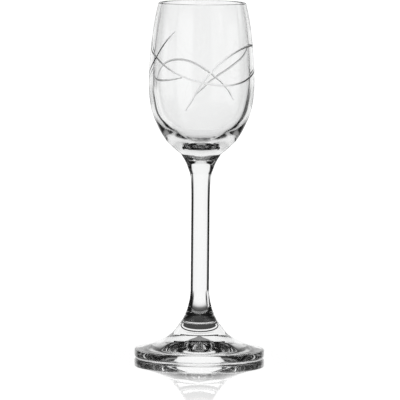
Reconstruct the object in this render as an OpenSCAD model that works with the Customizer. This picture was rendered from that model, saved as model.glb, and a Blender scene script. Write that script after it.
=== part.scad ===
// A small stemmed cordial glass: a tapering bowl, a drawn stem and a round foot, welded hot into one.
// Millimetres, +Z up. The origin is on the floor, under the middle of the foot.

/* [Whole glass] */

// Height from the floor to the lip
glass_h = 150; // [140:1:160]
// Height of the weld between the bowl and the stem
stem_top_z = 86; // [80:0.5:90]
// Height of the weld between the stem and the foot
foot_top_z = 10; // [9:0.1:11]

/* [Bowl] */

// Outside width where the bowl is fullest
bowl_d = 44.6; // [42:0.1:48]
// How far each side draws in from the fullest width to the lip
lip_draw = 3.75; // [3:0.05:5]
// Width of the bowl's bottom, where the stem is welded on
neck_d = 16.8; // [15:0.1:18]
// Thickness of the glass at the fullest width
wall_t = 2.15; // [1.8:0.05:3]
// Thickness of the glass just under the lip
lip_t = 1.1; // [0.9:0.05:1.5]
// Glass under the middle of the cavity, down to the weld
floor_t = 3.9; // [3.3:0.1:5]
// Height of the rounding of the lip
lip_h = 0.6; // [0.4:0.05:0.8]

/* [Cut arcs round the bowl] */

// Width of a cut where it is deepest
cut_w = 0.9; // [0.6:0.05:1.1]
// Depth of a cut
cut_depth = 0.35; // [0.2:0.05:0.45]
// Length over which a cut tapers out at an end
cut_fade = 14; // [8:1:20]

/* [Stem] */

// Width of the straight part of the stem
stem_d = 7.9; // [6.5:0.1:8.5]
// Width of the flare where it is welded to the foot
stem_base_d = 23.2; // [21:0.1:25]
// Height of the lower flare
base_flare_h = 18; // [16:0.5:21]
// Height of the upper flare
top_flare_h = 20; // [17:0.5:23]

/* [Foot] */

// Width of the foot
foot_d = 54.8; // [52:0.1:60]
// Thickness of the foot at its rim
foot_rim_t = 3.4; // [3:0.1:4]
// Rounding under the rim
rim_round = 0.9; // [0.7:0.05:1.2]
// Rounding on top of the rim
edge_round = 0.5; // [0.4:0.05:0.8]
// Width of the flat ring that the glass stands on
rest_w = 2.6; // [2:0.1:4]
// Rise of the hollow under the foot
hollow_h = 5.5; // [4.5:0.1:6]

/* [Hidden] */

bowl_r = bowl_d / 2;
neck_r = neck_d / 2;
mouth_r = bowl_r - lip_draw;
cavity_r = bowl_r - wall_t;
cavity_mouth_r = mouth_r - lip_t;
cavity_z = stem_top_z + floor_t;
lip_z = glass_h - lip_h;
lip_r = (mouth_r + cavity_mouth_r) / 2;
stem_r = stem_d / 2;
stem_base_r = stem_base_d / 2;
foot_r = foot_d / 2;
rest_inner_r = foot_r - rim_round - rest_w;
// A cutter reaches this far out of the bowl, and its ends still cut this share of the depth
cut_clear = lip_h;
faint_share = 0.15;

// Outside of the bowl from the weld to its fullest width: shares of the way out and of the way up
swell_out_shares = [0, 0.151, 0.317, 0.468, 0.626, 0.749, 0.856, 0.924, 0.967, 0.993, 1];
swell_up_shares = [0, 0.053, 0.123, 0.196, 0.31, 0.423, 0.54, 0.647, 0.763, 0.883, 1];
swell_h_share = 0.47;

// And from there to the lip, outside and inside alike: shares of the way in and of the way up
taper_in_shares = [0, 0.013, 0.053, 0.107, 0.173, 0.253, 0.36, 0.467, 0.613, 0.787, 1];
taper_up_shares = [for (i = [0:10]) i / 10];

// Inside of the bowl from the middle of its floor to its widest
hollow_out_shares = [0, 0.179, 0.318, 0.417, 0.516, 0.645, 0.754, 0.848, 0.913, 0.963, 0.991, 1];
hollow_up_shares = [0, 0.014, 0.044, 0.078, 0.127, 0.216, 0.313, 0.43, 0.552, 0.709, 0.855, 1];
hollow_h_share = 0.465;

// Flares of the stem: shares of the way from the straight part to the weld, out and along
base_out_shares = [1, 0.744, 0.596, 0.506, 0.394, 0.305, 0.192, 0.113, 0.045, 0.013, 0];
base_up_shares = [0, 0.139, 0.222, 0.272, 0.353, 0.433, 0.556, 0.678, 0.811, 0.922, 1];
top_out_shares = [0, 0.018, 0.054, 0.135, 0.257, 0.391, 0.515, 0.652, 0.76, 0.946, 1];
top_up_shares = [0, 0.25, 0.445, 0.58, 0.655, 0.74, 0.805, 0.87, 0.91, 0.975, 1];

// Top of the foot from the weld to the corner of its rim: shares of the way out and of the way down
slope_out_shares = [0, 0.092, 0.209, 0.333, 0.503, 0.68, 0.797, 0.902, 1];
slope_down_shares = [0, 0.159, 0.333, 0.477, 0.644, 0.803, 0.902, 0.967, 1];

// Hollow under the foot, from the rest to the middle
under_in_shares = [0, 0.12, 0.3, 0.5, 0.75, 1];
under_up_shares = [0, 0.07, 0.21, 0.43, 0.75, 1];

// Quarter round, as shares of its two reaches
round_shares = [for (a = [0:15:90]) [sin(a), 1 - cos(a)]];

// The four cuts, each a run of [turn from the front in degrees, height as a share of the bowl's].
// Turns grow to the right: 90 is the right side, 180 the back.
sweep_cut_shares = [
    [-104, 0.93], [-98, 0.84], [-90, 0.757], [-78, 0.69], [-61, 0.648], [-35, 0.567], [-11, 0.512],
    [12, 0.482], [30, 0.475], [50, 0.493], [69, 0.527], [86, 0.557], [98, 0.582]
];
left_cut_shares = [
    [-33, 0.822], [-45, 0.755], [-61, 0.648], [-73, 0.583], [-85, 0.529], [-96, 0.497],
    [-109, 0.474], [-124, 0.462], [-140, 0.462], [-156, 0.477]
];
right_cut_shares = [
    [-18, 0.308], [-10, 0.38], [0, 0.486], [15, 0.588], [28, 0.65], [43, 0.695], [59, 0.719], [75, 0.724],
    [90, 0.715], [104, 0.684], [119, 0.632], [137, 0.575], [152, 0.522], [164, 0.478], [174, 0.425], [186, 0.352]
];
back_cut_shares = [
    [135, 0.322], [147, 0.396], [160, 0.465], [175, 0.528], [193, 0.582], [210, 0.599], [228, 0.587],
    [241, 0.55], [251, 0.495], [258, 0.44], [264, 0.38]
];

steps = 3;

// A smooth line through points, as a list of points
function between(a, b, c, d, t) =
    b + t / 2 * (c - a + t * (2 * a - 5 * b + 4 * c - d + t * (3 * (b - c) + d - a)));
function smooth(pts) = [
    for (i = [0:len(pts) - 2], j = [0:steps - 1])
        between(pts[max(i - 1, 0)], pts[i], pts[i + 1], pts[min(i + 2, len(pts) - 1)], j / steps),
    pts[len(pts) - 1]
];
function line_from(r0, z0, r1, z1, outs, ups) =
    [for (i = [0:len(outs) - 1]) [r0 + (r1 - r0) * outs[i], z0 + (z1 - z0) * ups[i]]];
function joined(a, b) = concat(a, [for (i = [1:len(b) - 1]) b[i]]);

fullest_z = stem_top_z + (glass_h - stem_top_z) * swell_h_share;
cavity_fullest_z = cavity_z + (glass_h - cavity_z) * hollow_h_share;

outside = joined(
    line_from(neck_r, stem_top_z, bowl_r, fullest_z, swell_out_shares, swell_up_shares),
    line_from(bowl_r, fullest_z, mouth_r, lip_z, taper_in_shares, taper_up_shares)
);
inside = joined(
    line_from(0, cavity_z, cavity_r, cavity_fullest_z, hollow_out_shares, hollow_up_shares),
    line_from(cavity_r, cavity_fullest_z, cavity_mouth_r, lip_z, taper_in_shares, taper_up_shares)
);
lip = concat(
    [for (p = round_shares) [mouth_r - (mouth_r - lip_r) * p[1], lip_z + lip_h * p[0]]],
    [for (i = [len(round_shares) - 2:-1:1])
        [cavity_mouth_r + (lip_r - cavity_mouth_r) * round_shares[i][1], lip_z + lip_h * round_shares[i][0]]]
);

// A cut lies on the bowl's outside, and its depth fades over cut_fade towards both ends
outside_by_z = [for (p = smooth(outside)) [p[1], p[0]]];
function on_bowl(turn, z) =
    [lookup(z, outside_by_z) * sin(turn), -lookup(z, outside_by_z) * cos(turn), z];
function unit(v) = v / norm(v);
function run_length(pts, i) = i == 0 ? 0 : run_length(pts, i - 1) + norm(pts[i] - pts[i - 1]);
function depth_at(gone, whole) =
    cut_depth * max(faint_share, min(1, gone / cut_fade, (whole - gone) / cut_fade));

// One ring of a cutter: a V with its edge in the glass and its open side clear of the bowl
function cut_ring(pts, i, whole) =
    let (depth = depth_at(run_length(pts, i), whole))
    let (along = unit(pts[min(i + 1, len(pts) - 1)] - pts[max(i - 1, 0)]))
    let (out = unit([pts[i][0], pts[i][1], 0]))
    let (side = unit(cross(along, out)) * (depth + cut_clear) * cut_w / cut_depth / 2)
    [pts[i] - out * depth, pts[i] + out * cut_clear + side, pts[i] + out * cut_clear - side];

straight_lo_z = foot_top_z + base_flare_h;
straight_hi_z = stem_top_z - top_flare_h;

module cutter(run) {
    pts = [for (p = smooth(run)) on_bowl(p[0], stem_top_z + (glass_h - stem_top_z) * p[1])];
    n = len(pts);
    whole = run_length(pts, n - 1);
    polyhedron(
        [for (i = [0:n - 1], p = cut_ring(pts, i, whole)) p],
        concat(
            [[2, 1, 0]],
            [for (i = [0:n - 2], k = [0:2]) [i * 3 + k, i * 3 + (k + 1) % 3, i * 3 + k + 3]],
            [for (i = [0:n - 2], k = [0:2]) [i * 3 + k + 3, i * 3 + (k + 1) % 3, i * 3 + (k + 1) % 3 + 3]],
            [[n * 3 - 3, n * 3 - 2, n * 3 - 1]]
        )
    );
}

module bowl() {
    color("#eef3f4")
        difference() {
            rotate_extrude($fn = 96)
                polygon(concat(
                    [[0, stem_top_z]],
                    [for (p = smooth(outside)) if (p[1] < lip_z) p],
                    lip,
                    [for (i = [len(smooth(inside)) - 1:-1:0]) smooth(inside)[i]]
                ));
            cutter(sweep_cut_shares);
            cutter(left_cut_shares);
            cutter(right_cut_shares);
            cutter(back_cut_shares);
        }
}

module stem() {
    color("#eef3f4")
        rotate_extrude($fn = 96)
            polygon(concat(
                [[0, foot_top_z]],
                smooth(line_from(stem_r, foot_top_z, stem_base_r, straight_lo_z,
                    base_out_shares, base_up_shares)),
                smooth(line_from(stem_r, straight_hi_z, neck_r, stem_top_z,
                    top_out_shares, top_up_shares)),
                [[0, stem_top_z]]
            ));
}

module foot() {
    color("#eef3f4")
        rotate_extrude($fn = 96)
            polygon(concat(
                [[0, foot_top_z]],
                smooth(line_from(stem_base_r, foot_top_z, foot_r - edge_round, foot_rim_t,
                    slope_out_shares, slope_down_shares)),
                [for (i = [1:len(round_shares) - 1])
                    [foot_r - edge_round + edge_round * round_shares[i][0],
                        foot_rim_t - edge_round * round_shares[i][1]]],
                [for (p = round_shares)
                    [foot_r - rim_round * p[1], rim_round * (1 - p[0])]],
                smooth(line_from(rest_inner_r, 0, 0, hollow_h, under_in_shares, under_up_shares))
            ));
}

bowl();
stem();
foot();
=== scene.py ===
# A small cut cordial glass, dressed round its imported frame: bowl, stem and foot in clear glass.
import math

import bpy
from mathutils import Matrix, Vector


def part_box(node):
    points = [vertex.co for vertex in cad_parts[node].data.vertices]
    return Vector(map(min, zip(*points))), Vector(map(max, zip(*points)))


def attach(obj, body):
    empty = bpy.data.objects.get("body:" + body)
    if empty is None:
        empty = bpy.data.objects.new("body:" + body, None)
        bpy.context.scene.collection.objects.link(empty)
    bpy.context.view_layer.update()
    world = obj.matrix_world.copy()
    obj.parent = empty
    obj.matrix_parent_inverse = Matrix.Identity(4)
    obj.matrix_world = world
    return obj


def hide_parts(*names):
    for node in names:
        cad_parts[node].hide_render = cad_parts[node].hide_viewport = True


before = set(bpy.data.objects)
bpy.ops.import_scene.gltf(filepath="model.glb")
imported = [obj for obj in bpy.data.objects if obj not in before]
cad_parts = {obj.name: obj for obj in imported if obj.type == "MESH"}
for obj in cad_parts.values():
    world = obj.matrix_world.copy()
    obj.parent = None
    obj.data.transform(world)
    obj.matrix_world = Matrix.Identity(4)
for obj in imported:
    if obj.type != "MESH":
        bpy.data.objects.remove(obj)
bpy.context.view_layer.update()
scene = bpy.context.scene
mm = 0.001  # all lengths are in metres
white = (1, 1, 1, 1)

# The overall sizes come from the frame, and the dictionaries hold the rest that a user would change
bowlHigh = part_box("bowl")[1]
stemLow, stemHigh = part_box("stem")
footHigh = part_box("foot")[1]
bowlBase = stemHigh.z
footTop = stemLow.z


def lineFrom(start, end, across, along):
    # ends as (radius, height)
    return [(start[0] + (end[0] - start[0]) * a, start[1] + (end[1] - start[1]) * b)
            for a, b in zip(across, along)]


def smoothLine(points, steps):
    # a Catmull-Rom line through the points, as the solids have it
    line = []
    for i in range(len(points) - 1):
        a, b = Vector(points[max(i - 1, 0)]), Vector(points[i])
        c, d = Vector(points[i + 1]), Vector(points[min(i + 2, len(points) - 1)])
        for j in range(steps):
            t = j / steps
            line.append(b + t / 2 * (c - a + t * (2 * a - 5 * b + 4 * c - d + t * (3 * (b - c) + d - a))))
    return [tuple(point) for point in line] + [points[-1]]


def quarter(steps=10):
    return [(math.sin(math.pi / 2 * i / steps), 1 - math.cos(math.pi / 2 * i / steps))
            for i in range(steps + 1)]


# Each outline runs from the axis, out, up and back to the axis.
# Its lists are shares of the way across and of the way up between two named sizes.
bowlLook = {
    "lipDraw": 3.75 * mm,  # how far each side draws in from the fullest width to the lip
    "neckWidth": 16.8 * mm,
    "wall": 2.15 * mm,  # at the fullest width
    "lipWall": 1.1 * mm,
    "floor": 3.9 * mm,
    "lipRound": 0.6 * mm,
    "fullestAt": 0.47,  # share of the bowl's height
    "hollowFullestAt": 0.465,
    "swellOut": [0, 0.151, 0.317, 0.468, 0.626, 0.749, 0.856, 0.924, 0.967, 0.993, 1],
    "swellUp": [0, 0.053, 0.123, 0.196, 0.31, 0.423, 0.54, 0.647, 0.763, 0.883, 1],
    "taperIn": [0, 0.013, 0.053, 0.107, 0.173, 0.253, 0.36, 0.467, 0.613, 0.787, 1],
    "hollowOut": [0, 0.179, 0.318, 0.417, 0.516, 0.645, 0.754, 0.848, 0.913, 0.963, 0.991, 1],
    "hollowUp": [0, 0.014, 0.044, 0.078, 0.127, 0.216, 0.313, 0.43, 0.552, 0.709, 0.855, 1],
    "turns": 288,  # facets round the axis
    "smoothing": 6,
}


def bowlOutline():
    look = bowlLook
    fullest = (bowlHigh.x, bowlBase + (bowlHigh.z - bowlBase) * look["fullestAt"])
    lipZ = bowlHigh.z - look["lipRound"]
    mouth = fullest[0] - look["lipDraw"]
    hollowBase = bowlBase + look["floor"]
    hollow = (fullest[0] - look["wall"], hollowBase + (bowlHigh.z - hollowBase) * look["hollowFullestAt"])
    hollowMouth = mouth - look["lipWall"]
    middle = (mouth + hollowMouth) / 2
    steps = len(look["taperIn"]) - 1
    ups = [i / steps for i in range(steps + 1)]
    outside = lineFrom((look["neckWidth"] / 2, bowlBase), fullest, look["swellOut"], look["swellUp"])
    outside += lineFrom(fullest, (mouth, lipZ), look["taperIn"], ups)[1:]
    inside = lineFrom((0, hollowBase), hollow, look["hollowOut"], look["hollowUp"])
    inside += lineFrom(hollow, (hollowMouth, lipZ), look["taperIn"], ups)[1:]
    lip = [(mouth - (mouth - middle) * b, lipZ + look["lipRound"] * a) for a, b in quarter()[1:]]
    lip += [(hollowMouth + (middle - hollowMouth) * b, lipZ + look["lipRound"] * a)
            for a, b in quarter()[-2:0:-1]]
    return ([(0, bowlBase)] + smoothLine(outside, look["smoothing"]) + lip
            + smoothLine(inside, look["smoothing"])[::-1])


stemLook = {
    "width": 7.9 * mm,
    "baseFlare": 18 * mm,
    "topFlare": 20 * mm,
    "baseOut": [1, 0.744, 0.596, 0.506, 0.394, 0.305, 0.192, 0.113, 0.045, 0.013, 0],
    "baseUp": [0, 0.139, 0.222, 0.272, 0.353, 0.433, 0.556, 0.678, 0.811, 0.922, 1],
    "topOut": [0, 0.018, 0.054, 0.135, 0.257, 0.391, 0.515, 0.652, 0.76, 0.946, 1],
    "topUp": [0, 0.25, 0.445, 0.58, 0.655, 0.74, 0.805, 0.87, 0.91, 0.975, 1],
    "rings": 24,  # along the straight part
    "turns": 288,
    "smoothing": 6,
}


def stemOutline():
    look = stemLook
    thin, base = look["width"] / 2, stemHigh.x
    lower = lineFrom((thin, footTop), (base, footTop + look["baseFlare"]), look["baseOut"], look["baseUp"])
    upper = lineFrom((thin, bowlBase - look["topFlare"]), (bowlLook["neckWidth"] / 2, bowlBase),
                     look["topOut"], look["topUp"])
    steps = look["smoothing"]
    rise = upper[0][1] - lower[-1][1]
    straight = [(thin, lower[-1][1] + rise * i / look["rings"]) for i in range(1, look["rings"])]
    return [(0, footTop)] + smoothLine(lower, steps) + straight + smoothLine(upper, steps) + [(0, bowlBase)]


footLook = {
    "rimThick": 3.4 * mm,
    "rimRound": 0.9 * mm,  # under the rim
    "edgeRound": 0.5 * mm,  # on top of it
    "restWidth": 2.6 * mm,
    "hollow": 5.5 * mm,
    "slopeOut": [0, 0.092, 0.209, 0.333, 0.503, 0.68, 0.797, 0.902, 1],
    "slopeDown": [0, 0.159, 0.333, 0.477, 0.644, 0.803, 0.902, 0.967, 1],
    "underIn": [0, 0.12, 0.3, 0.5, 0.75, 1],
    "underUp": [0, 0.07, 0.21, 0.43, 0.75, 1],
    "turns": 288,
    "smoothing": 8,
}


def footOutline():
    look = footLook
    edge, turn, top = footHigh.x, look["rimRound"], look["edgeRound"]
    under = lineFrom((edge - turn - look["restWidth"], 0), (0, look["hollow"]),
                     look["underIn"], look["underUp"])
    slope = lineFrom((stemHigh.x, footTop), (edge - top, look["rimThick"]),
                     look["slopeOut"], look["slopeDown"])
    rim = [(edge - turn + turn * a, turn * b) for a, b in quarter()]
    rim += [(edge - top * b, look["rimThick"] - top + top * a) for a, b in quarter()]
    return (smoothLine(under, look["smoothing"])[::-1] + rim
            + smoothLine(slope, look["smoothing"])[::-1][1:] + [(0, footTop)])


meshLook = {
    "ring": 0.1,  # radius of the ring that carries an outline round the axis
    "mergeWithin": 0.001 * mm,
    "crease": math.radians(25),  # an edge that bends more stays sharp
    "level": 0.999,  # least upright share of the normal on a flat weld
    "weldWithin": 0.01 * mm,
}


def newTree(name, sizes):
    tree = bpy.data.node_groups.new(name, "GeometryNodeTree")
    tree.interface.new_socket("Geometry", in_out="INPUT", socket_type="NodeSocketGeometry")
    for label, kind in sizes:
        tree.interface.new_socket(label, in_out="INPUT", socket_type=kind)
    tree.interface.new_socket("Geometry", in_out="OUTPUT", socket_type="NodeSocketGeometry")
    return tree, tree.nodes.new("NodeGroupInput").outputs, tree.nodes.new("NodeGroupOutput").inputs


def addNode(tree, kind, values=(), settings=None, **named):
    # values go to the first sockets in order, named ones to theirs; a socket as a value is linked
    node = tree.nodes.new(kind)
    for key, value in (settings or {}).items():
        setattr(node, key, value)
    for key, value in [*enumerate(values), *named.items()]:
        socket = node.inputs[key if isinstance(key, int) else key.replace("_", " ")]
        if isinstance(value, bpy.types.NodeSocket):
            tree.links.new(value, socket)
        elif value is not None:
            socket.default_value = value
    return node.outputs


def calculate(tree, operation, *values, **settings):
    return addNode(tree, "ShaderNodeMath", values, {"operation": operation, **settings})[0]


def vectorWork(tree, operation, *values):
    return addNode(tree, "ShaderNodeVectorMath", values, {"operation": operation})


turnedSizes = [("Turns", "NodeSocketInt"), ("Ring", "NodeSocketFloat"),
               ("Lower weld", "NodeSocketFloat"), ("Upper weld", "NodeSocketFloat"),
               ("Glass", "NodeSocketMaterial"), ("Weld", "NodeSocketMaterial")]
cutSizes = [("Cut paths", "NodeSocketObject"), ("Cut section", "NodeSocketObject"),
            ("Spacing", "NodeSocketFloat"), ("Fade", "NodeSocketFloat"), ("Faintest", "NodeSocketFloat"),
            ("Cut glass", "NodeSocketMaterial")]


def turned(tree, given):
    # the outline is carried round a ring about the axis, and its two ends close there
    ring = addNode(tree, "GeometryNodeCurvePrimitiveCircle", Resolution=given["Turns"],
                   Radius=given["Ring"])
    upright = addNode(tree, "GeometryNodeSetCurveNormal", settings={"mode": "Z_UP"}, Curve=ring["Curve"])
    swept = addNode(tree, "GeometryNodeCurveToMesh", Curve=upright[0], Profile_Curve=given["Geometry"])
    closed = addNode(tree, "GeometryNodeMergeByDistance", Geometry=swept[0],
                     Distance=meshLook["mergeWithin"])[0]
    outward = addNode(tree, "GeometryNodeFlipFaces", Mesh=closed)[0]
    return addNode(tree, "GeometryNodeSetMaterial", Geometry=outward, Material=given["Glass"])[0]


# Each cut is a run of (turn from the front in degrees, share of the bowl's height)
cutLook = {
    "width": 0.9 * mm,
    "depth": 0.35 * mm,
    "fade": 3 * mm,
    "faintest": 0.7,  # share of the depth where an end still cuts
    "clear": 0.6 * mm,  # how far the wheel stands out of the glass
    "spacing": 0.6 * mm,
    "reach": 30 * mm,  # radius from which the paths drop onto the glass
    "pathSteps": 8,
    "sweep": [(-104, 0.93), (-98, 0.84), (-90, 0.757), (-78, 0.69), (-61, 0.648), (-35, 0.567),
              (-11, 0.512), (12, 0.482), (30, 0.475), (50, 0.493), (69, 0.527), (86, 0.557), (98, 0.582)],
    "left": [(-33, 0.822), (-45, 0.755), (-61, 0.648), (-73, 0.583), (-85, 0.529), (-96, 0.497),
             (-109, 0.474), (-124, 0.462), (-140, 0.462), (-156, 0.477)],
    "right": [(-18, 0.308), (-10, 0.38), (0, 0.486), (15, 0.588), (28, 0.65), (43, 0.695), (59, 0.719),
              (75, 0.724), (90, 0.715), (104, 0.684), (119, 0.632), (137, 0.575), (152, 0.522),
              (164, 0.478), (174, 0.425), (186, 0.352)],
    "back": [(135, 0.322), (147, 0.396), (160, 0.465), (175, 0.528), (193, 0.582), (210, 0.599),
             (228, 0.587), (241, 0.55), (251, 0.495), (258, 0.44), (264, 0.38)],
}


def cut(tree, given, glass):
    # the paths are dropped onto the glass, and a V section carried along them is taken out of it
    paths = addNode(tree, "GeometryNodeObjectInfo", [given["Cut paths"]])["Geometry"]
    curved = addNode(tree, "GeometryNodeCurveSplineType", settings={"spline_type": "CATMULL_ROM"},
                     Curve=paths)[0]
    fine = addNode(tree, "GeometryNodeSetSplineResolution", Geometry=curved,
                   Resolution=cutLook["pathSteps"])[0]
    spaced = addNode(tree, "GeometryNodeResampleCurve", settings={"mode": "LENGTH"}, Curve=fine,
                     Length=given["Spacing"])[0]
    place = addNode(tree, "GeometryNodeInputPosition")[0]
    inward = vectorWork(tree, "MULTIPLY", place, (-1, -1, 0))[0]
    drop = addNode(tree, "GeometryNodeRaycast", settings={"data_type": "FLOAT_VECTOR"},
                   Target_Geometry=glass, Source_Position=place, Ray_Direction=inward,
                   Ray_Length=cutLook["reach"])
    laid = addNode(tree, "GeometryNodeSetPosition", Geometry=spaced, Position=drop["Hit Position"])[0]
    # the section's open side faces straight out of the glass
    outward = vectorWork(tree, "MULTIPLY", addNode(tree, "GeometryNodeInputPosition")[0], (1, 1, 0))[0]
    facing = addNode(tree, "GeometryNodeSetCurveNormal", settings={"mode": "FREE"}, Curve=laid,
                     Normal=vectorWork(tree, "NORMALIZE", outward)[0])[0]
    gone = addNode(tree, "GeometryNodeSplineParameter")["Length"]
    whole = addNode(tree, "GeometryNodeSplineLength")["Length"]
    nearer = calculate(tree, "MINIMUM", gone, calculate(tree, "SUBTRACT", whole, gone))
    share = calculate(tree, "DIVIDE", nearer, given["Fade"], use_clamp=True)
    section = addNode(tree, "GeometryNodeObjectInfo", [given["Cut section"]])["Geometry"]
    wedge = addNode(tree, "GeometryNodeCurveToMesh", Curve=facing, Profile_Curve=section,
                    Scale=calculate(tree, "MAXIMUM", share, given["Faintest"]), Fill_Caps=True)[0]
    ground = addNode(tree, "GeometryNodeSetMaterial", Geometry=wedge, Material=given["Cut glass"])[0]
    return addNode(tree, "GeometryNodeMeshBoolean", settings={"operation": "DIFFERENCE", "solver": "EXACT"},
                   Mesh_1=glass, Mesh_2=ground, Self_Intersection=True)[0]


def turnedTree(name, withCuts=False):
    tree, given, made = newTree(name, turnedSizes + (cutSizes if withCuts else []))
    glass = turned(tree, given)
    if withCuts:
        glass = cut(tree, given, glass)
    smooth = addNode(tree, "GeometryNodeSetShadeSmooth", settings={"domain": "FACE"}, Geometry=glass,
                     Shade_Smooth=True)[0]
    bend = addNode(tree, "GeometryNodeInputMeshEdgeAngle")["Unsigned Angle"]
    creased = addNode(tree, "GeometryNodeSetShadeSmooth", settings={"domain": "EDGE"}, Geometry=smooth,
                      Selection=calculate(tree, "GREATER_THAN", bend, meshLook["crease"]),
                      Shade_Smooth=False)[0]
    # flat rounds that two pieces share don't bend the light
    height = addNode(tree, "ShaderNodeSeparateXYZ", [addNode(tree, "GeometryNodeInputPosition")[0]])["Z"]
    tilt = addNode(tree, "ShaderNodeSeparateXYZ", [addNode(tree, "GeometryNodeInputNormal")[0]])["Z"]
    level = calculate(tree, "GREATER_THAN", calculate(tree, "ABSOLUTE", tilt), meshLook["level"])
    atLower = calculate(tree, "COMPARE", height, given["Lower weld"], meshLook["weldWithin"])
    atUpper = calculate(tree, "COMPARE", height, given["Upper weld"], meshLook["weldWithin"])
    shared = calculate(tree, "MULTIPLY", level, calculate(tree, "MAXIMUM", atLower, atUpper))
    single = addNode(tree, "GeometryNodeRealizeInstances", Geometry=creased)[0]
    welded = addNode(tree, "GeometryNodeSetMaterial", Geometry=single, Selection=shared,
                     Material=given["Weld"])[0]
    tree.links.new(welded, made["Geometry"])
    return tree


def flatCurve(name, points, cyclic=False):
    curve = bpy.data.curves.new(name, "CURVE")
    curve.dimensions = "3D"
    for run in points:
        spline = curve.splines.new("POLY")
        spline.points.add(len(run) - 1)
        for point, place in zip(spline.points, run):
            point.co = (*place, 1)
        spline.use_cyclic_u = cyclic
    made = bpy.data.objects.new(name, curve)
    scene.collection.objects.link(made)
    return made


def applyTree(name, source, tree, sizes):
    modifier = source.modifiers.new(name, "NODES")
    modifier.node_group = tree
    for item in tree.interface.items_tree:
        if item.in_out == "INPUT" and item.name in sizes:
            modifier[item.identifier] = sizes[item.name]
    mesh = bpy.data.meshes.new_from_object(source.evaluated_get(bpy.context.evaluated_depsgraph_get()))
    mesh.name = name
    piece = bpy.data.objects.new(name, mesh)
    scene.collection.objects.link(piece)
    bpy.data.objects.remove(source)
    return piece


def turnedPiece(name, outline, tree, look, welds, glass, weld, extra=None):
    ring = meshLook["ring"]
    profile = flatCurve(name + "Outline", [[(radius - ring, -height, 0) for radius, height in outline]])
    return applyTree(name, profile, tree, {
        "Turns": look["turns"], "Ring": ring, "Lower weld": welds[0], "Upper weld": welds[1],
        "Glass": glass, "Weld": weld, **(extra or {})})


def newMaterial(name):
    material = bpy.data.materials.new(name)
    material.use_nodes = True
    material.node_tree.nodes.clear()
    return material, material.node_tree


def finishMaterial(tree, shader):
    addNode(tree, "ShaderNodeOutputMaterial", Surface=shader)


def letLampsThrough(tree, glass, shadow):
    # lamps shine through, with the little that the glass holds back
    through = addNode(tree, "ShaderNodeBsdfTransparent", Color=shadow)[0]
    lamp = addNode(tree, "ShaderNodeLightPath")["Is Shadow Ray"]
    finishMaterial(tree, addNode(tree, "ShaderNodeMixShader", [lamp, glass, through])[0])


glassLook = {
    "tint": (0.995, 0.998, 0.997, 1),
    "ior": 1.52,
    "roughness": 0.0,
    "waveScale": 60.0,
    "waveStretch": (1, 1, 0.25),
    "waveStrength": 0.12,
    "waveHeight": 0.02 * mm,
    "waveDetail": 1.0,
    "shadow": (0.9, 0.91, 0.91, 1),
}


def clearGlass(name, look):
    material, tree = newMaterial(name)
    place = addNode(tree, "ShaderNodeTexCoord")["Object"]
    drawn = addNode(tree, "ShaderNodeMapping", [place, (0, 0, 0), (0, 0, 0), look["waveStretch"]])[0]
    waves = addNode(tree, "ShaderNodeTexNoise", Vector=drawn, Scale=look["waveScale"],
                    Detail=look["waveDetail"])["Fac"]
    ripple = addNode(tree, "ShaderNodeBump", Strength=look["waveStrength"], Distance=look["waveHeight"],
                     Height=waves)[0]
    glass = addNode(tree, "ShaderNodeBsdfPrincipled", Base_Color=look["tint"], Roughness=look["roughness"],
                    IOR=look["ior"], Transmission_Weight=1.0, Normal=ripple)["BSDF"]
    letLampsThrough(tree, glass, look["shadow"])
    return material


groundLook = {
    "tint": (0.95, 0.955, 0.955, 1),
    "ior": 1.52,
    "gritScale": 3000.0,
    "gritStrength": 0.3,
    "gritHeight": 0.02 * mm,
    "gritDetail": 2.0,
    "gritSpan": (0.3, 0.7),
    "roughLow": 0.35,
    "roughHigh": 0.55,
    "shadow": (0.75, 0.76, 0.76, 1),
}


def groundGlass(name, look):
    material, tree = newMaterial(name)
    place = addNode(tree, "ShaderNodeTexCoord")["Object"]
    grit = addNode(tree, "ShaderNodeTexNoise", Vector=place, Scale=look["gritScale"],
                   Detail=look["gritDetail"])["Fac"]
    pits = addNode(tree, "ShaderNodeBump", Strength=look["gritStrength"], Distance=look["gritHeight"],
                   Height=grit)[0]
    polish = addNode(tree, "ShaderNodeMapRange",
                     [grit, *look["gritSpan"], look["roughLow"], look["roughHigh"]])[0]
    glass = addNode(tree, "ShaderNodeBsdfPrincipled", Base_Color=look["tint"], Roughness=polish,
                    IOR=look["ior"], Transmission_Weight=1.0, Normal=pits)["BSDF"]
    letLampsThrough(tree, glass, look["shadow"])
    return material


def weldMaterial(name):
    # where two pieces are one glass, light goes straight on
    material, tree = newMaterial(name)
    finishMaterial(tree, addNode(tree, "ShaderNodeBsdfTransparent", Color=white)[0])
    return material


clear = clearGlass("clearGlass", glassLook)
ground = groundGlass("groundCut", groundLook)
weld = weldMaterial("weldedThrough")
print("glass finishes ready")

reach = cutLook["reach"]
cutPaths = flatCurve("cutPaths", [
    [(reach * math.sin(math.radians(turn)), -reach * math.cos(math.radians(turn)),
      bowlBase + (bowlHigh.z - bowlBase) * share) for turn, share in cutLook[run]]
    for run in ("sweep", "left", "right", "back")])
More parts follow.
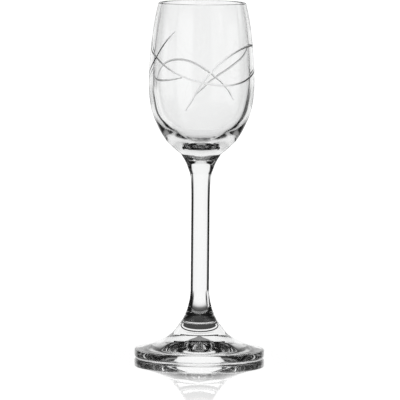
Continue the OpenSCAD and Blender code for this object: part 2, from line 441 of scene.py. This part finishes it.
# half the width of the V at its open side, which stands out of the glass
openSide = (cutLook["depth"] + cutLook["clear"]) * cutLook["width"] / cutLook["depth"] / 2
cutSection = flatCurve("cutSection", [[(-cutLook["depth"], 0, 0), (cutLook["clear"], -openSide, 0),
                                       (cutLook["clear"], openSide, 0)]], cyclic=True)
bowl = turnedPiece("bowlGlass", bowlOutline(), turnedTree("turnedAndCut", withCuts=True), bowlLook,
                   (bowlBase, bowlBase), clear, weld,
                   {"Cut paths": cutPaths, "Cut section": cutSection, "Spacing": cutLook["spacing"],
                    "Fade": cutLook["fade"], "Faintest": cutLook["faintest"], "Cut glass": ground})
bpy.data.objects.remove(cutPaths)
bpy.data.objects.remove(cutSection)
plain = turnedTree("turnedGlass")
stem = turnedPiece("stemGlass", stemOutline(), plain, stemLook, (footTop, bowlBase), clear, weld)
foot = turnedPiece("footGlass", footOutline(), plain, footLook, (footTop, footTop), clear, weld)
for piece, node in ((bowl, "bowl"), (stem, "stem"), (foot, "foot")):
    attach(piece, "root")
    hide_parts(node)
print("glass turned and cut:", [len(piece.data.polygons) for piece in (bowl, stem, foot)])


# The stage: a white bench that mirrors the foot, and a room with white windows of light


def shareCurve(tree, distance, rows):
    curve = tree.nodes.new("ShaderNodeFloatCurve")
    tree.links.new(calculate(tree, "DIVIDE", distance, rows[-1][0]), curve.inputs["Value"])
    points = curve.mapping.curves[0].points
    for i, (radius, share) in enumerate(rows):
        spot = (radius / rows[-1][0], share)
        if 0 < i < len(rows) - 1:
            points.new(*spot)
        else:
            points[0 if i == 0 else -1].location = spot
    curve.mapping.update()
    return curve.outputs[0]


def softStep(tree, value, ends, low, high):
    return addNode(tree, "ShaderNodeMapRange", [value, *ends, low, high],
                   {"interpolation_type": "SMOOTHSTEP"})[0]


# The bench's rows are (distance from the middle of the foot, share)
benchLook = {
    "radius": 4.0,
    "sides": 64,
    "drop": 0.3 * mm,  # how far it lies under the foot
    "glow": 0.8,  # makes it white to the camera, and leaves the shadow
    "paint": 0.85,
    "mirror": [(0, 1), (0.052, 0.98), (0.075, 0.62), (0.1, 0.48), (0.15, 0.35), (0.175, 0.2), (0.25, 0.05)],
    "mirrorPower": 0.2,  # how much the mirroring weakens as it is looked down on
    "mirrorRoughness": 0.02,
    # Light that the glass has bent goes through the bench to the room, but for a steep look at the
    # part behind the glass, which glows with painted shade near the foot and grows whiter with the distance
    "clearFacing": (0.55, 0.66),
    # painted shade: a glow that is dark near the foot and whiter away from it, seen only through the glass
    "bentGlowWithPaintedShade": [(0, 0.03), (0.03, 0.06), (0.042, 0.15), (0.055, 0.6), (0.1, 0.8), (0.2, 0.93), (1, 1)],
    "lane": (20, 32),  # degrees to each side where that part ends
}


def makeBench(look):
    material, tree = newMaterial("whiteBench")
    place = addNode(tree, "ShaderNodeTexCoord")["Object"]
    away = vectorWork(tree, "LENGTH", place)["Value"]
    seen = addNode(tree, "ShaderNodeLightPath")["Is Camera Ray"]
    facing = addNode(tree, "ShaderNodeLayerWeight")["Facing"]
    sheen = calculate(tree, "MULTIPLY", shareCurve(tree, away, look["mirror"]),
                      calculate(tree, "POWER", facing, look["mirrorPower"]))
    spread = addNode(tree, "ShaderNodeSeparateXYZ", [place])
    turn = calculate(tree, "ABSOLUTE", calculate(tree, "ARCTAN2", spread["X"], spread["Y"]))
    aside = softStep(tree, turn, [math.radians(v) for v in look["lane"]], 0.0, 1.0)
    low = softStep(tree, facing, look["clearFacing"], 0.0, 1.0)
    # painted shade near the foot and painted white farther out, for light that the glass has bent
    bentGlowWithPaintedShade = addNode(tree, "ShaderNodeEmission", [white, shareCurve(tree, away, look["bentGlowWithPaintedShade"])])[0]
    bent = addNode(tree, "ShaderNodeMixShader", [calculate(tree, "MAXIMUM", aside, low), bentGlowWithPaintedShade,
                                                 addNode(tree, "ShaderNodeBsdfTransparent")[0]])[0]
    glow = addNode(tree, "ShaderNodeEmission", [white, look["glow"]])[0]
    matt = addNode(tree, "ShaderNodeBsdfDiffuse", [(look["paint"],) * 3 + (1,)])[0]
    body = addNode(tree, "ShaderNodeAddShader", [glow, matt])[0]
    gloss = addNode(tree, "ShaderNodeBsdfGlossy", Color=white, Roughness=look["mirrorRoughness"])[0]
    plain = addNode(tree, "ShaderNodeMixShader", [sheen, body, gloss])[0]
    finishMaterial(tree, addNode(tree, "ShaderNodeMixShader", [seen, bent, plain])[0])
    mesh = bpy.data.meshes.new("bench")
    sides = look["sides"]
    rim = [(look["radius"] * math.cos(math.tau * i / sides),
            look["radius"] * math.sin(math.tau * i / sides), -look["drop"]) for i in range(sides)]
    mesh.from_pydata(rim, [], [list(range(sides))])
    mesh.materials.append(material)
    bench = bpy.data.objects.new("bench", mesh)
    scene.collection.objects.link(bench)


# Each window is a soft-edged panel of white light. Its row gives in degrees where its middle is,
# as turn and height, half its width, half its height and how soft its edge is, and then how bright
roomLook = {
    "plain": 0.35,  # even light on the bench
    "dark": 0.004,
    "through": [(0, 20, 38, 32, 5, 1.0), (0, -6, 29, 24, 4, 1.0), (0, 72, 60, 20, 8, 0.3),
                (60, 13, 11, 11, 7, 0.7), (-60, 13, 11, 11, 7, 0.7), (90, 0, 22, 9, 8, 0.35),
                (-90, 0, 22, 9, 8, 0.35)],
    # seen only by light that hasn't been turned back inside the glass
    "straight": [(-50, -28, 11, 18, 3, 1.0), (135, 2, 22, 30, 5, 1.0), (-90, -3, 20, 18, 5, 1.0)],
    "turnedBack": 1.5,  # more mirrorings than this shut that light out
    "even": 0.08,  # mirrored from all round
    "mirrored": [(0, 8, 34, 22, 8, 1.0), (-45, 25, 7, 7, 3, 1.0), (135, 15, 7, 7, 3, 1.0),
                 (-90, 3, 7, 7, 3, 1.0), (180, 5, 60, 25, 45, 1.0)],
}


def makeRoom(look):
    world = bpy.data.worlds.new("room")
    scene.world = world
    world.use_nodes = True
    tree = world.node_tree
    tree.nodes.clear()
    aim = addNode(tree, "ShaderNodeSeparateXYZ", [addNode(tree, "ShaderNodeTexCoord")["Generated"]])
    aimTurn = calculate(tree, "ARCTAN2", aim["X"], aim["Y"])
    aimHeight = calculate(tree, "ARCSINE", aim["Z"])

    def windows(rows, base):
        light = base
        for turn, height, halfWidth, halfHeight, soft, bright in rows:
            aside = calculate(tree, "WRAP", calculate(tree, "SUBTRACT", aimTurn, math.radians(turn)),
                              math.pi, -math.pi)
            above = calculate(tree, "SUBTRACT", aimHeight, math.radians(height))
            panel = [softStep(tree, calculate(tree, "ABSOLUTE", off),
                              [math.radians(half - soft), math.radians(half + soft)], full, 0.0)
                     for off, half, full in ((aside, halfWidth, bright), (above, halfHeight, 1.0))]
            light = calculate(tree, "MAXIMUM", calculate(tree, "MULTIPLY", *panel), light)
        return light

    # what is seen through the glass, or mirrored on it, or straight behind it
    path = addNode(tree, "ShaderNodeLightPath")
    bent = calculate(tree, "GREATER_THAN", path["Transmission Depth"], 0.5)
    straight = calculate(tree, "LESS_THAN", path["Glossy Depth"], look["turnedBack"])
    through = windows(look["through"], calculate(
        tree, "MULTIPLY_ADD", windows(look["straight"], 0.0), straight, look["dark"]))
    mirrored = windows(look["mirrored"], look["even"])
    glass = addNode(tree, "ShaderNodeMix", [bent, None, mirrored, through])[0]
    lit = addNode(tree, "ShaderNodeMix", [path["Is Diffuse Ray"], None, glass, look["plain"]])[0]
    strength = addNode(tree, "ShaderNodeMix", [path["Is Camera Ray"], None, lit, 1.0])[0]
    backdrop = addNode(tree, "ShaderNodeBackground", [white, strength])[0]
    addNode(tree, "ShaderNodeOutputWorld", Surface=backdrop)


lampLook = {"place": (0.3, -0.4, 1.6), "aim": (0, 0, 0.05), "width": 1.2, "power": 6.0}


def areaLamp(name, look):
    light = bpy.data.lights.new(name, "AREA")
    light.shape = "DISK"
    light.size = look["width"]
    light.energy = look["power"]
    lamp = bpy.data.objects.new(name, light)
    lamp.location = look["place"]
    lamp.rotation_euler = (Vector(look["aim"]) - lamp.location).to_track_quat("-Z", "Y").to_euler()
    lamp.visible_camera = lamp.visible_glossy = lamp.visible_transmission = False
    scene.collection.objects.link(lamp)


cameraLook = {
    "place": (0, -2.42, 0.28),
    "aim": (-0.00025, 0, 0.0665),
    "lens": 518.0,
    "sensor": 36.0,
    "roll": 0.5,  # degrees that the photograph leans
    "clip": (0.01, 20.0),
}


def placeCamera(look):
    data = bpy.data.cameras.new("camera")
    data.lens = look["lens"]
    data.sensor_width = look["sensor"]
    data.clip_start, data.clip_end = look["clip"]
    camera = bpy.data.objects.new("camera", data)
    camera.location = look["place"]
    aim = (Vector(look["aim"]) - camera.location).to_track_quat("-Z", "Y").to_matrix()
    camera.rotation_euler = (aim @ Matrix.Rotation(math.radians(look["roll"]), 3, "Z")).to_euler()
    scene.collection.objects.link(camera)
    scene.camera = camera


makeBench(benchLook)
makeRoom(roomLook)
areaLamp("overhead", lampLook)
placeCamera(cameraLook)

# light passes many walls of glass, and is turned back inside them
passes, turnsBack = 32, 16
scene.view_settings.view_transform = "Standard"
scene.cycles.max_bounces = passes
scene.cycles.transmission_bounces = passes
scene.cycles.transparent_max_bounces = passes
scene.cycles.glossy_bounces = turnsBack
scene.cycles.caustics_reflective = False
scene.cycles.caustics_refractive = False

print("stage and camera ready")
